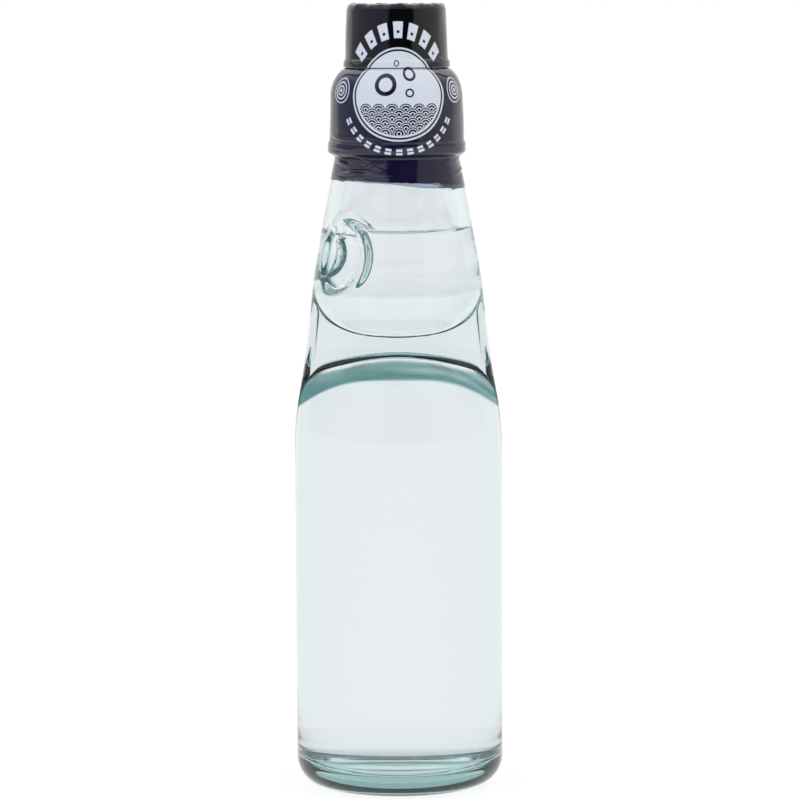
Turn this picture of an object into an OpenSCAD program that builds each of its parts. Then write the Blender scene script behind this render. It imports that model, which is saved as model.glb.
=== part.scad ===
// Marble stopper bottle: a glass bottle with a pinched neck, a glass marble that gas pressure holds
// against a rubber ring in the mouth, and a push-down opener under a shrink film.
// The bottle stands on the plane z = 0 with its axis on Z. The jaws of the pinch face -Y and +Y,
// so the web between them runs along X, and the two marble catches are on the -X side.

/* [Body] */
// Outer diameter of the body
body_d = 56; // [52:0.5:60]
// Height of the straight side, from the foot to the shoulder
body_h = 93; // [80:1:110]
// Radius of the rounded heel
heel_r = 8; // [6:0.5:10]
// Thickness of the glass wall
wall = 3.4; // [2.8:0.1:3.8]
// Thickness of the glass under the inner floor
base_t = 6; // [5:0.5:9]
// Width of the ring that the bottle stands on
foot_w = 3; // [2:0.5:4]
// Height of the hollow under the base
punt_h = 1.8; // [1:0.1:2.5]

/* [Pinch] */
// Height from the straight side to the middle of the pinch
shoulder_h = 27; // [24:1:32]
// Diameter of the untouched glass beside the pinch
waist_d = 49.3; // [46:0.1:51]
// Width of the slot that stops the marble
slot_w = 11.6; // [10:0.2:13]
// Bend of the slot's two faces
slot_bend = 75; // [70:1:100]
// Thickness of the glass between the slot and a pressed face
pinch_t = 6.2; // [5.4:0.1:6.6]
// Bend of the two pressed faces
face_bend = 46; // [42:1:56]
// Height of a pressed face between its two flanks
saddle_h = 7.2; // [5:0.2:9]
// Height of the flank under a pressed face
low_flank_h = 14.4; // [13:0.2:17]
// Height of the flank over a pressed face
high_flank_h = 11.4; // [9.6:0.2:13]
// Thickness of the glass ledge under a pressed face
ledge_t = 7; // [5:0.2:8]
// Height of the vault under the ledge
vault_h = 14; // [11:0.5:15]

/* [Marble chamber] */
// Height from the pinch to the middle of the chamber
chamber_h = 18; // [16:0.5:22]
// Outer diameter of the chamber
chamber_d = 45.3; // [43:0.1:47]
// Height from the middle of the chamber to its upper shoulder
crown_h = 14; // [12:0.5:18]
// Outer diameter at the upper shoulder
crown_d = 40.6; // [38:0.1:42]
// Height of the marble catches above the middle of the chamber
catch_h = 7.5; // [4:0.5:9]
// Radius of the round tool that presses a catch
catch_r = 12; // [9:0.5:14]
// Depth of a catch in the outer wall
catch_depth = 4.5; // [3:0.25:5]
// Angle from the -X side to each catch
catch_angle = 42; // [38:1:60]

/* [Neck and finish] */
// Height of the neck cone, from the upper shoulder to the cap
neck_h = 19.4; // [16:0.2:24]
// Outer diameter of the neck under the cap
neck_d = 32.8; // [31:0.1:33.5]
// Diameter of the bore in the mouth
bore_d = 22; // [20:0.2:23]
// Outer diameter of the glass finish inside the cap
finish_d = 30.6; // [29.8:0.1:31]
// Height of the glass finish
finish_h = 13.1; // [12:0.1:15]
// How far the locking bead stands out from the finish
bead_h = 0.5; // [0.3:0.1:0.6]

/* [Marble] */
// Diameter of the marble
marble_d = 17; // [16:0.1:17.6]
// Gap between the marble and the rubber seat
seat_gap = 0.1; // [0.05:0.05:0.2]

/* [Mouth cap and seals] */
// Diameter of the cap barrel where it meets the dome
cap_d = 35.2; // [34.8:0.1:36]
// How much wider the barrel is at its foot
cap_draft = 0.6; // [0.2:0.1:1]
// How far the skirt ridge stands out from the barrel
ridge_t = 0.45; // [0.2:0.05:0.7]
// Height of the skirt ridge
ridge_h = 3; // [2:0.2:4]
// Height of the domed shoulder above the barrel
dome_h = 8.4; // [7:0.2:10]
// Diameter of the flat land that carries the opener
land_d = 24.4; // [24:0.1:25]
// Diameter of the drinking hole
mouth_d = 16; // [14.5:0.1:17]
// Height of the drinking lip above the land
lip_h = 3; // [2:0.2:4]
// Thickness of the ring that seals the glass rim
rim_seal_t = 1; // [0.6:0.1:1.4]
// Height of the rubber ring that the marble seals against
gasket_h = 4; // [3:0.2:4.6]
// Outer diameter of the rubber ring
gasket_d = 21; // [19.5:0.1:21.4]
// Diameter of the hole in the rubber ring
gasket_hole = 13; // [12:0.1:14]
// How deep the marble sits in the rubber ring
seat_depth = 1.2; // [0.8:0.1:1.6]
// Gap between the cap and what it snaps over
cap_gap = 0.1; // [0.05:0.05:0.2]

/* [Opener] */
// Height of the opener hoop
hoop_h = 16.4; // [14:0.2:20]
// Outer diameter of the hoop above its foot bead
hoop_d = 27.2; // [27:0.1:28]
// How much narrower the hoop is at its top
hoop_draft = 0.9; // [0.3:0.1:1.2]
// Wall of the hoop
hoop_wall = 1.7; // [1.4:0.1:1.8]
// Height of the bead round the foot of the hoop
hoop_bead = 1.6; // [1.2:0.1:2.4]
// How far that bead stands out
hoop_bead_t = 0.5; // [0.3:0.1:0.8]
// Gap between the hoop and the drinking lip
hoop_gap = 0.25; // [0.2:0.05:0.4]
// Diameter of the push plate
plate_d = 19; // [18:0.2:20]
// Thickness of the push plate
plate_t = 1.6; // [1.2:0.1:2]
// How far the plate lies under the top of the hoop
plate_sink = 1.2; // [0.6:0.1:2]
// Width of the ribbed post under the plate
post_d = 9; // [7:0.2:10]
// Thickness of the post's ribs
rib_t = 1.6; // [1.2:0.1:2]
// Gap between the post and the marble before it is pressed
tip_gap = 1.3; // [0.8:0.1:2]
// Number of break-off bridges between plate and hoop
bridges = 4; // [3:1:6]
// Width of a break-off bridge
bridge_w = 1.2; // [0.8:0.1:1.6]
// Break gap at the end of each bridge
bridge_gap = 0.15; // [0.1:0.05:0.3]

/* [Shrink film] */
// Thickness of the film
film_t = 0.25; // [0.15:0.05:0.35]
// Height of the film's lower edge above the upper shoulder of the glass
film_edge_h = 10.6; // [6:0.2:14]
// Slope of the lower edge, which shrank unevenly
film_slope = 5; // [0:1:8]
// Gap of the tear line under the opener
tear_gap = 0.3; // [0.2:0.05:0.5]
// Width of the film folded in over the hoop
fold_w = 4.4; // [3:0.2:6]

/* [Hidden] */

$fn = 96;
ARC_STEPS = 7;          // straight facets along a quarter round
CURVE_STEP = 3.2;       // longest facet along the glass outline
FAR = 2 * body_d;       // larger than anything it cuts
BITE = 1;               // how far a cutter runs past what it cuts

BODY_R = body_d / 2;
FOOT_R = BODY_R - heel_r;
PUNT_FLAT = 5;          // radius of the flat middle of the hollow under the base
Z_WAIST = body_h + shoulder_h;
Z_CHAMBER = Z_WAIST + chamber_h;
Z_CROWN = Z_CHAMBER + crown_h;
Z_NECK = Z_CROWN + neck_h;
Z_RIM = Z_NECK + finish_h;
Z_CATCH = Z_CHAMBER + catch_h;

// The two forms of the pinch, outside and inside. Each has its wall offset, half width and bend, the
// heights where the lower flank starts and ends and the upper one starts and ends, and their powers.
SADDLE_LO = Z_WAIST - saddle_h / 2;
SADDLE_HI = Z_WAIST + saddle_h / 2;
VAULT_TOP = SADDLE_LO - ledge_t;
OUTER = [0, slot_w / 2 + pinch_t, face_bend,
         [SADDLE_LO - low_flank_h, SADDLE_LO, SADDLE_HI, SADDLE_HI + high_flank_h], [2, 1.8]];
INNER = [wall, slot_w / 2, slot_bend,
         [max(body_h + 1, VAULT_TOP - vault_h), VAULT_TOP, SADDLE_HI + wall, Z_CHAMBER], [3, 2]];

// The rubber ring, the marble under it and the slot edges that it lands on
CAP_FLOOR = Z_RIM + rim_seal_t;
MARBLE_R = marble_d / 2;
SEAT_HALF = sqrt(pow(MARBLE_R, 2) - pow(gasket_hole / 2, 2));
MARBLE_Z = CAP_FLOOR + seat_depth - SEAT_HALF;
REST_Z = SADDLE_HI + wall + sqrt(pow(MARBLE_R, 2) - pow(slot_w / 2, 2));

// The cap, from its skirt to the drinking lip
CAP_R = cap_d / 2;
SKIRT_R = CAP_R + cap_draft / 2;
RIDGE_R = SKIRT_R + ridge_t;
Z_SKIRT = Z_NECK + 0.8;
Z_RIDGE = Z_SKIRT + ridge_h;
Z_LAND = CAP_FLOOR + gasket_h + 5.5;
Z_BARREL = Z_LAND - dome_h;
Z_LIP = Z_LAND + lip_h;
BEAD_Z = Z_SKIRT + ridge_h;
BEAD_HALF = 1.4;
LAND_R = land_d / 2;

// The opener, which stands on the land
HOOP_R = hoop_d / 2;
HOOP_TOP_R = HOOP_R - hoop_draft / 2;
HOOP_IN = HOOP_R - hoop_wall;
Z_HOOP = Z_LAND + hoop_h;
HOOP_EDGE = 1.1;
LIP_R = HOOP_IN - hoop_gap;
Z_PLATE = Z_HOOP - plate_sink;
Z_TIP = MARBLE_Z + MARBLE_R + tip_gap;
TIP_T = 1.4;

echo(rest_z = REST_Z, marble_z = MARBLE_Z, marble_drop = MARBLE_Z - REST_Z);
echo(z_rim = Z_RIM, z_land = Z_LAND, z_hoop = Z_HOOP, z_tip = Z_TIP, z_top = Z_HOOP + film_t);

// Outer radii of the glass beside the pinch, each with its height
STATIONS = [
    [body_h, BODY_R],
    [Z_WAIST, waist_d / 2],
    [Z_CHAMBER, chamber_d / 2],
    [Z_CROWN, crown_d / 2],
    [Z_NECK, neck_d / 2]
];
LAST = len(STATIONS) - 1;

function run(i, j) = (STATIONS[j][1] - STATIONS[i][1]) / (STATIONS[j][0] - STATIONS[i][0]);
function slope(i) = i == 0 ? 0 : i == LAST ? run(LAST - 1, LAST) : run(i - 1, i + 1);
function station(z) = max([for (i = [0 : LAST - 1]) if (i == 0 || z >= STATIONS[i][0]) i]);

// A cubic that meets both ends at their radius and slope
function cubic(t, r0, r1, m0, m1) =
    r0 * (2 * pow(t, 3) - 3 * pow(t, 2) + 1) + m0 * (pow(t, 3) - 2 * pow(t, 2) + t)
    + r1 * (3 * pow(t, 2) - 2 * pow(t, 3)) + m1 * (pow(t, 3) - pow(t, 2));

// Outer radius of the glass at height z, without the pinch
function glass_r(z) =
    z <= body_h ? BODY_R :
    let (i = station(z), z0 = STATIONS[i][0], h = STATIONS[i + 1][0] - z0)
    cubic((z - z0) / h, STATIONS[i][1], STATIONS[i + 1][1], slope(i) * h, slope(i + 1) * h);

// Points up the glass from z0 to z1, moved out by grow
function side(z0, z1, grow = 0) =
    let (n = ceil((z1 - z0) / CURVE_STEP))
    [for (i = [0 : n]) let (z = z0 + (z1 - z0) * i / n) [glass_r(z) + grow, z]];

function bowed(v, power) = sign(v) * pow(abs(v), 2 / power);

// Quarter of an ellipse about [r, z], between the angles a0 and a1. It is fuller above power 2 and
// straighter below it.
function quarter(r, z, half_w, half_h, a0, a1, steps = ARC_STEPS, power = 2) =
    [for (i = [0 : steps]) let (a = a0 + (a1 - a0) * i / steps)
        [r + half_w * bowed(cos(a), power), z + half_h * bowed(sin(a), power)]];

// The waisted outline: the glass side with the notch of the two flanks, for one form of the pinch
function waisted(z0, z1, form) =
    let (t = form[0], core = form[1], at = form[3], round = form[4],
         lo = glass_r(at[0]) - t, hi = glass_r(at[3]) - t)
    concat(
        side(z0, at[0], -t),
        quarter(core, at[0], lo - core, at[1] - at[0], 0, 90, ARC_STEPS, round[0]),
        [[core - BITE, at[1]], [core - BITE, at[2]]],
        quarter(core, at[3], hi - core, at[3] - at[2], -90, 0, ARC_STEPS, round[1]),
        side(at[3], z1, -t)
    );

// The web that joins the two flanks, lens-shaped seen from above, for one form of the pinch
module web(form) {
    core = form[1];
    bend = form[2];
    lo = form[3][0];
    hi = form[3][3];
    intersection() {
        rotate_extrude() polygon(concat([[0, lo]], side(lo, hi, -form[0]), [[0, hi]]));
        translate([0, bend - core, lo - BITE]) cylinder(h = hi - lo + 2 * BITE, r = bend);
        translate([0, core - bend, lo - BITE]) cylinder(h = hi - lo + 2 * BITE, r = bend);
    }
}

// The round tools of the two marble catches, grown by the wall for the inner side
module catches(grow = 0) {
    reach = glass_r(Z_CATCH) + catch_r - catch_depth;
    for (side_y = [-1, 1])
        rotate([0, 0, 180 + side_y * catch_angle])
            translate([reach, 0, Z_CATCH]) sphere(catch_r + grow);
}

module glass_outside() {
    finish_r = finish_d / 2;
    rim_round = 1;
    difference() {
        union() {
            rotate_extrude() polygon(concat(
                [[0, punt_h]],
                quarter(PUNT_FLAT, 0, FOOT_R - foot_w - PUNT_FLAT, punt_h, 90, 0, 4),
                quarter(FOOT_R, heel_r, heel_r, heel_r, -90, 0),
                waisted(body_h, Z_NECK, OUTER),
                [[finish_r, Z_NECK + 0.5], [finish_r, BEAD_Z - BEAD_HALF],
                 [finish_r + bead_h, BEAD_Z - bead_h], [finish_r + bead_h, BEAD_Z],
                 [finish_r, BEAD_Z + BEAD_HALF]],
                quarter(finish_r - rim_round, Z_RIM - rim_round, rim_round, rim_round, 0, 90, 3),
                [[0, Z_RIM]]
            ));
            web(OUTER);
        }
        catches();
    }
}

module glass_cavity() {
    floor_r = BODY_R - wall;
    floor_round = heel_r - 1;
    bore_r = bore_d / 2;
    difference() {
        union() {
            rotate_extrude() polygon(concat(
                [[0, base_t]],
                quarter(floor_r - floor_round, base_t + floor_round, floor_round, floor_round, -90, 0),
                waisted(body_h, Z_NECK, INNER),
                [[bore_r, Z_NECK + 4], [bore_r, Z_RIM - 1], [bore_r + 0.5, Z_RIM + BITE],
                 [0, Z_RIM + BITE]]
            ));
            web(INNER);
        }
        catches(wall);
    }
}

module glass_bottle() {
    color("aliceblue", 0.5) difference() {
        glass_outside();
        glass_cavity();
    }
}

module marble() {
    color("lightcyan") translate([0, 0, MARBLE_Z]) sphere(MARBLE_R);
}

// Outline of the cap's outer side, from the skirt to the land, moved out by grow
function cap_side(grow = 0) = concat(
    [[RIDGE_R + grow, Z_SKIRT], [RIDGE_R + grow, Z_RIDGE - 0.4], [SKIRT_R + grow, Z_RIDGE]],
    quarter(LAND_R, Z_BARREL, CAP_R - LAND_R + grow, dome_h + grow, 0, 90)
);

module mouth_cap() {
    inner_r = finish_d / 2 + cap_gap;
    bead_r = inner_r + bead_h;
    gasket_r = gasket_d / 2;
    mouth_r = mouth_d / 2;
    lip_round = 0.8;
    color("white") rotate_extrude() polygon(concat(
        [[inner_r, Z_SKIRT]],
        cap_side(),
        [[LIP_R, Z_LAND]],
        quarter(LIP_R - lip_round, Z_LIP - lip_round, lip_round, lip_round, 0, 90, 4),
        quarter(mouth_r + lip_round, Z_LIP - lip_round, lip_round, lip_round, 90, 180, 4),
        [[mouth_r, CAP_FLOOR + gasket_h], [gasket_r, CAP_FLOOR + gasket_h], [gasket_r, CAP_FLOOR],
         [inner_r, CAP_FLOOR], [inner_r, BEAD_Z + BEAD_HALF], [bead_r, BEAD_Z],
         [bead_r, BEAD_Z - bead_h], [inner_r, BEAD_Z - BEAD_HALF]]
    ));
}

module mouth_gasket() {
    color("dimgray") difference() {
        translate([0, 0, CAP_FLOOR]) cylinder(h = gasket_h, d = gasket_d);
        translate([0, 0, CAP_FLOOR - BITE]) cylinder(h = gasket_h + 2 * BITE, d = gasket_hole);
        translate([0, 0, MARBLE_Z]) sphere(MARBLE_R + seat_gap);
    }
}

module rim_seal() {
    color("silver") translate([0, 0, Z_RIM]) difference() {
        cylinder(h = rim_seal_t, r = finish_d / 2);
        translate([0, 0, -BITE]) cylinder(h = rim_seal_t + 2 * BITE, r = bore_d / 2 + 0.5);
    }
}

// The film below the tear line: it hugs the cap and the neck, and ends in a slanting edge
module film_skirt() {
    edge_z = Z_CROWN + film_edge_h;
    drop = BODY_R * tan(film_slope);
    inside = concat(side(edge_z - drop, Z_NECK), cap_side());
    outside = concat(side(edge_z - drop, Z_NECK, film_t), cap_side(film_t));
    color("midnightblue") difference() {
        rotate_extrude() intersection() {
            polygon(concat(outside, [for (i = [len(inside) - 1 : -1 : 0]) inside[i]]));
            translate([HOOP_R + film_t, 0]) square([FAR, Z_HOOP]);
        }
        translate([0, 0, edge_z]) rotate([0, film_slope, 0])
            translate([0, 0, -FAR / 2]) cube([FAR, FAR, FAR], center = true);
    }
}

// Outline of the hoop's outer side, from its foot to its rounded top, moved out by grow
function hoop_side(grow = 0, from = 0) = concat(
    [[HOOP_R + hoop_bead_t + grow, Z_LAND + from], [HOOP_R + hoop_bead_t + grow, Z_LAND + hoop_bead],
     [HOOP_R + grow, Z_LAND + hoop_bead + 0.6]],
    quarter(HOOP_TOP_R - HOOP_EDGE, Z_HOOP - HOOP_EDGE, HOOP_EDGE + grow, HOOP_EDGE + grow, 0, 90, 5)
);

module opener_ring() {
    color("lightskyblue") rotate_extrude() polygon(concat(
        [[HOOP_IN, Z_LAND]],
        hoop_side(),
        [[HOOP_TOP_R - hoop_wall + 0.4, Z_HOOP], [HOOP_TOP_R - hoop_wall, Z_HOOP - 0.4]]
    ));
}

// The film above the tear line: it hugs the hoop and folds in over its top
module film_collar() {
    inside = hoop_side(0, tear_gap);
    outside = hoop_side(film_t, tear_gap);
    fold_r = HOOP_TOP_R - fold_w;
    color("midnightblue") rotate_extrude() polygon(concat(
        outside,
        [[fold_r, Z_HOOP + film_t], [fold_r, Z_HOOP]],
        [for (i = [len(inside) - 1 : -1 : 0]) inside[i]]
    ));
}

module opener_plunger() {
    plate_r = plate_d / 2;
    reach = HOOP_TOP_R - hoop_wall - bridge_gap;
    bridge_t = plate_t / 2;
    color("lightskyblue") union() {
        translate([0, 0, Z_PLATE - plate_t]) cylinder(h = plate_t, r = plate_r);
        translate([0, 0, Z_TIP]) cylinder(h = TIP_T, d = post_d);
        for (turn = [0, 90])
            rotate([0, 0, turn]) translate([-post_d / 2, -rib_t / 2, Z_TIP + TIP_T / 2])
                cube([post_d, rib_t, Z_PLATE - Z_TIP - TIP_T / 2 - plate_t / 2]);
        intersection() {
            for (i = [0 : bridges - 1])
                rotate([0, 0, 45 + i * 360 / bridges])
                    translate([plate_r - BITE, -bridge_w / 2, Z_PLATE - plate_t])
                        cube([FAR, bridge_w, bridge_t]);
            translate([0, 0, Z_PLATE - plate_t]) cylinder(h = bridge_t, r = reach);
        }
    }
}

glass_bottle();
marble();
mouth_cap();
mouth_gasket();
rim_seal();
film_skirt();
opener_ring();
film_collar();
opener_plunger();
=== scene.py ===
"""Marble stopper bottle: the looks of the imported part, built round its fixed frame.

The bottle stands on z = 0 with its axis on Z. The camera looks along +Y, square on to the jaws of
the pinch, so the flat web of the waist runs along X. All sizes are in millimetres until a mesh is
made, which is in metres.
"""

import logging
import math
from dataclasses import dataclass, field
from enum import Enum

import bpy
import numpy as np
from mathutils import Matrix, Vector


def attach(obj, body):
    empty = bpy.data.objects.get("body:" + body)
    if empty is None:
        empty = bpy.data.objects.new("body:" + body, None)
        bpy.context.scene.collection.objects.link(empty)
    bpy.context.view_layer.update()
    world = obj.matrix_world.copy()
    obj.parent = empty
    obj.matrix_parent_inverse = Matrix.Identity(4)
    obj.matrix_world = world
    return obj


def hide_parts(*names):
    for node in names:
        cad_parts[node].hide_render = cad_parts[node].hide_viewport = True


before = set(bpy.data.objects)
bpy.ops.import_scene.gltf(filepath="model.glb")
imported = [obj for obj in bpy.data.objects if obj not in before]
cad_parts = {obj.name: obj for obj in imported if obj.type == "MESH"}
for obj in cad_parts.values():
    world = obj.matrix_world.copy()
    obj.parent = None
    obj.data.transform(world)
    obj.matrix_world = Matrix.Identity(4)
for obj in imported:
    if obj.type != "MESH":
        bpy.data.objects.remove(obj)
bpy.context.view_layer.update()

MM = 0.001
FRONT = -math.pi / 2  # the direction of the camera, as an angle about Z from +X
LOG = logging.getLogger("bottle")


class Wrap(Enum):
    """How the first and last row of a grid end."""

    OPEN = "open"
    POLES = "poles"
    RING = "ring"


class Side(Enum):
    """The two faces of the glass wall."""

    OUTER = 0.0
    INNER = 1.0


def linear(code: str, alpha: float = 1.0) -> tuple[float, float, float, float]:
    """Turn an sRGB hex colour into linear values.

    Args:
        code: The colour as "#RRGGBB".
        alpha: The fourth value.

    Returns:
        The linear red, green and blue, and alpha.
    """
    parts = [int(code[i : i + 2], 16) / 255 for i in (1, 3, 5)]
    red, green, blue = (
        c / 12.92 if c <= 0.04045 else ((c + 0.055) / 1.055) ** 2.4 for c in parts
    )
    return red, green, blue, alpha


def add_node(tree, kind: str, inputs: dict | None = None, **settings):
    """Add one node, with its settings, plain values and links.

    Args:
        tree: The node tree that it goes into.
        kind: The node's type without "ShaderNode" before it.
        inputs: Socket name or number, to a value or to the socket that feeds it.
        settings: Properties of the node.

    Returns:
        The new node.
    """
    node = tree.nodes.new("ShaderNode" + kind)
    for name, value in settings.items():
        setattr(node, name, value)
    for key, value in (inputs or {}).items():
        if isinstance(value, bpy.types.NodeSocket):
            tree.links.new(value, node.inputs[key])
        else:
            node.inputs[key].default_value = value
    return node


def new_material(name: str) -> tuple[bpy.types.Material, bpy.types.NodeTree]:
    """Make an empty node material.

    Args:
        name: What the material is.

    Returns:
        The material and its node tree.
    """
    material = bpy.data.materials.new(name)
    material.use_nodes = True
    material.node_tree.nodes.clear()
    return material, material.node_tree


def smooth_min(a: np.ndarray, b: np.ndarray, width: float) -> np.ndarray:
    """Lower of two fields, with a cubic fillet where they are closer than width."""
    gap = np.maximum(width - np.abs(a - b), 0) / width
    return np.minimum(a, b) - gap**3 * width / 6


def smooth_max(a: np.ndarray, b: np.ndarray, width: float) -> np.ndarray:
    """Higher of two fields, with a cubic fillet where they are closer than width."""
    return -smooth_min(-a, -b, width)


def ease(value: np.ndarray) -> np.ndarray:
    """Smooth step from 0 to 1, flat at both ends."""
    t = np.clip(value, 0, 1)
    return t * t * (3 - 2 * t)


def arc(r: float, z: float, half_w: float, half_h: float, a0: float, a1: float, steps: int) -> np.ndarray:
    """Points on an ellipse about [r, z] from angle a0 to a1 in degrees, as rows of r and z."""
    a = np.radians(np.linspace(a0, a1, steps + 1))
    return np.column_stack([r + half_w * np.cos(a), z + half_h * np.sin(a)])


def resample(path: np.ndarray, step: float) -> np.ndarray:
    """Even points along a broken line.

    Args:
        path: Rows of r and z.
        step: About how far the new points lie apart.

    Returns:
        The new rows, which keep both ends.
    """
    run = np.concatenate([[0], np.cumsum(np.hypot(*np.diff(path, axis=0).T))])
    even = np.linspace(0, run[-1], max(2, round(run[-1] / step)) + 1)
    return np.column_stack([np.interp(even, run, path[:, i]) for i in range(2)])


def soften(path: np.ndarray, passes: int) -> np.ndarray:
    """Round the corners of an even line: each pass moves a point to the mean of itself and its neighbours."""
    out = path.copy()
    for _ in range(passes):
        out[1:-1] = out[1:-1] / 2 + (out[:-2] + out[2:]) / 4
    return out


def spin(radius: np.ndarray, height: np.ndarray, angles: np.ndarray) -> np.ndarray:
    """Turn radius and height, rows by columns or one value a row, into points round Z at the angles."""
    rows = np.broadcast_to(radius.reshape(len(radius), -1), (len(radius), len(angles)))
    tall = np.broadcast_to(height.reshape(len(height), -1), (len(height), len(angles)))
    return np.stack([rows * np.cos(angles), rows * np.sin(angles), tall], axis=-1)


def ring_angles(count: int, focus: tuple[tuple[float, float, float], ...] = ()) -> np.ndarray:
    """Angles round a full turn, closer together at the places in focus.

    The density is 1 plus a bell of the given height and width at each place, and the angles are
    where its running sum reaches even shares.

    Args:
        count: Number of angles.
        focus: Angle in degrees, height and width in degrees of each place.

    Returns:
        The angles in radians, from the first up to under one turn.
    """
    fine = np.linspace(0, 360, 3601)
    density = np.ones_like(fine)
    for place, height, width in focus:
        away = (fine - place + 180) % 360 - 180
        density += height * np.exp(-((away / width) ** 2))
    run = np.concatenate([[0], np.cumsum((density[1:] + density[:-1]) / 2)])
    return np.radians(np.interp(np.arange(count) / count * run[-1], run, fine))


def grid_mesh(
    name: str,
    points: np.ndarray,
    wrap: Wrap,
    uv: np.ndarray | None = None,
    values: dict[str, np.ndarray] | None = None,
    slots: np.ndarray | None = None,
) -> bpy.types.Object:
    """Make a mesh object from a grid that closes round its columns.

    Row i and column j give one vertex, and each cell between two rows and two columns one face.
    With poles the first and last rows are one vertex each, fanned by triangles. With a ring the
    last row joins the first. Faces point outwards where the rows run anticlockwise about the
    solid, seen with the axis on the left.

    Args:
        name: The piece's name.
        points: Rows by columns by 3, in millimetres.
        wrap: How the first and last rows end.
        uv: Rows by columns by 2 by 2: each cell's own left and right u, v at that row.
        values: Named number for each vertex, as rows by columns.
        slots: The material slot of the cells above each row.

    Returns:
        The object, linked to the scene, smooth shaded.
    """
    rows, columns = points.shape[:2]
    number = np.arange(rows * columns).reshape(rows, columns)
    keep = np.ones(rows * columns, bool)
    if wrap is Wrap.POLES:
        for row in (0, rows - 1):
            keep[number[row, 1:]] = False
            number[row, 1:] = number[row, 0]
    order = np.cumsum(keep) - 1
    number = order[number]
    lower = np.arange(rows if wrap is Wrap.RING else rows - 1)
    upper = (lower + 1) % rows
    right = (np.arange(columns) + 1) % columns
    quads = np.stack(
        [number[lower], number[lower][:, right], number[upper][:, right], number[upper]], axis=-1
    ).reshape(-1, 4)
    faces = [list(dict.fromkeys(q)) for q in quads.tolist()] if wrap is Wrap.POLES else quads.tolist()
    mesh = bpy.data.meshes.new(name)
    mesh.from_pydata((points.reshape(-1, 3)[keep] * MM).tolist(), [], faces)
    if uv is not None:
        cells = np.stack([uv[lower][:, :, 0], uv[lower][:, :, 1], uv[upper][:, :, 1], uv[upper][:, :, 0]], axis=2)
        mesh.uv_layers.new(name="wrap").data.foreach_set("uv", cells.astype(np.float32).ravel())
    for key, value in (values or {}).items():
        layer = mesh.attributes.new(key, "FLOAT", "POINT")
        layer.data.foreach_set("value", value.reshape(-1)[keep].astype(np.float32))
    if slots is not None:
        mesh.polygons.foreach_set("material_index", np.repeat(slots[lower], columns).astype(np.int32))
    mesh.shade_smooth()
    mesh.update()
    mesh.validate()
    piece = bpy.data.objects.new(name, mesh)
    bpy.context.scene.collection.objects.link(piece)
    return piece


def settle(piece: bpy.types.Object, body: str, slot: str | None, stands_for: tuple[str, ...], *materials) -> bpy.types.Object:
    """Give a piece its materials, its body and the nodes that it stands for.

    Args:
        piece: The object.
        body: The body that it rides on.
        slot: The record's material slot, or None; not used.
        stands_for: CAD nodes that it replaces.
        materials: One material for each slot of the mesh.

    Returns:
        The piece.
    """
    for material in materials:
        piece.data.materials.append(material)
    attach(piece, body)
    if stands_for:
        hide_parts(*stands_for)
    LOG.info("%s: %d faces on %s", piece.name, len(piece.data.polygons), body)
    return piece


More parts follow.
